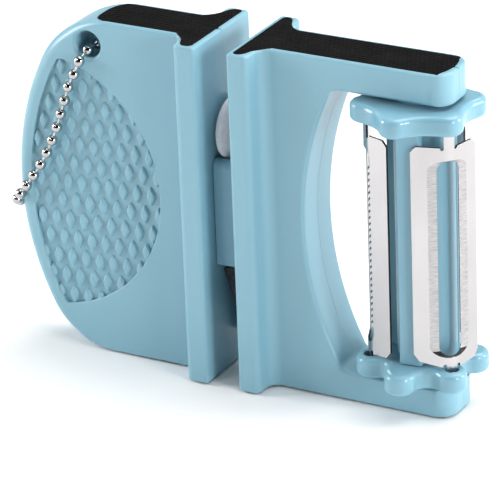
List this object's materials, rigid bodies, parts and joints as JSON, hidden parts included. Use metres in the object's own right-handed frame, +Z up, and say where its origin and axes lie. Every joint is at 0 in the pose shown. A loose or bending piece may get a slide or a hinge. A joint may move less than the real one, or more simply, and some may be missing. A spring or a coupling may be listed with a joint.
{
  "type": "pocket knife sharpener with rotary peeler",
  "caption": "Palm-size plastic knife sharpener with a ceramic slot and a carbide slot, a C-shaped frame holding a rotating turret of swivelling peeler blades, and a ball chain.",
  "frame": {"origin": "centre of the bounding box in plan (chain left out), at the bottom of the non-slip pads that it stands on", "axes": "+X from the D-shaped handle to the blade turret, -Y towards the front face with the chain, +Z up, from the carbide slot to the ceramic slot"},
  "size_m": [0.1026, 0.026, 0.0718],
  "materials": {
    "shell": "light blue moulded plastic, satin",
    "knob": "light blue glossy plastic",
    "block": "light blue moulded plastic",
    "pad": "black textured non-slip rubber",
    "ceramic": "grey-white fired ceramic",
    "carbide": "dark sintered carbide",
    "steel": "polished stainless steel",
    "nickel": "nickel-plated steel"
  },
  "bodies": {
    "body": {"handle_front_shell": "shell", "handle_back_shell": "shell", "frame_front_shell": "shell", "frame_back_shell": "shell", "handle_top_pad": "pad", "handle_bottom_pad": "pad", "frame_top_pad": "pad", "frame_bottom_pad": "pad", "core_block": "block", "wheel_axle": "steel", "carbide_cutter_front": "carbide", "carbide_cutter_back": "carbide", "ball_chain": "nickel", "chain_connector": "nickel"},
    "wheel_left": {"ceramic_wheel_left": "ceramic"},
    "wheel_right": {"ceramic_wheel_right": "ceramic"},
    "turret": {"turret_core": "block", "top_knob": "knob", "bottom_knob": "knob"},
    "peeler": {"peeler_blade": "steel"},
    "serrated": {"serrated_blade": "steel"},
    "julienne": {"julienne_blade": "steel"}
  },
  "joints": [
    {"name": "wheel_left_spin", "type": "hinge", "parent": "body", "child": "wheel_left", "pos_m": [-0.00068, 0, 0.0516], "axis": [1, 0, 0], "continuous": true},
    {"name": "wheel_right_spin", "type": "hinge", "parent": "body", "child": "wheel_right", "pos_m": [-0.00068, 0, 0.0516], "axis": [1, 0, 0], "continuous": true},
    {"name": "turret_spin", "type": "hinge", "parent": "body", "child": "turret", "pos_m": [0.03799, 0, 0.0353], "axis": [0, 0, 1], "continuous": true},
    {"name": "peeler_swivel", "type": "hinge", "parent": "turret", "child": "peeler", "pos_m": [0.04682, -0.0051, 0.0343], "axis": [0, 0, 1], "range_deg": [0, 26]},
    {"name": "serrated_swivel", "type": "hinge", "parent": "turret", "child": "serrated", "pos_m": [0.02916, -0.0051, 0.0343], "axis": [0, 0, 1], "range_deg": [-26, 14]},
    {"name": "julienne_swivel", "type": "hinge", "parent": "turret", "child": "julienne", "pos_m": [0.03799, 0.0102, 0.0343], "axis": [0, 0, 1], "range_deg": [-14, 26]}
  ]
}
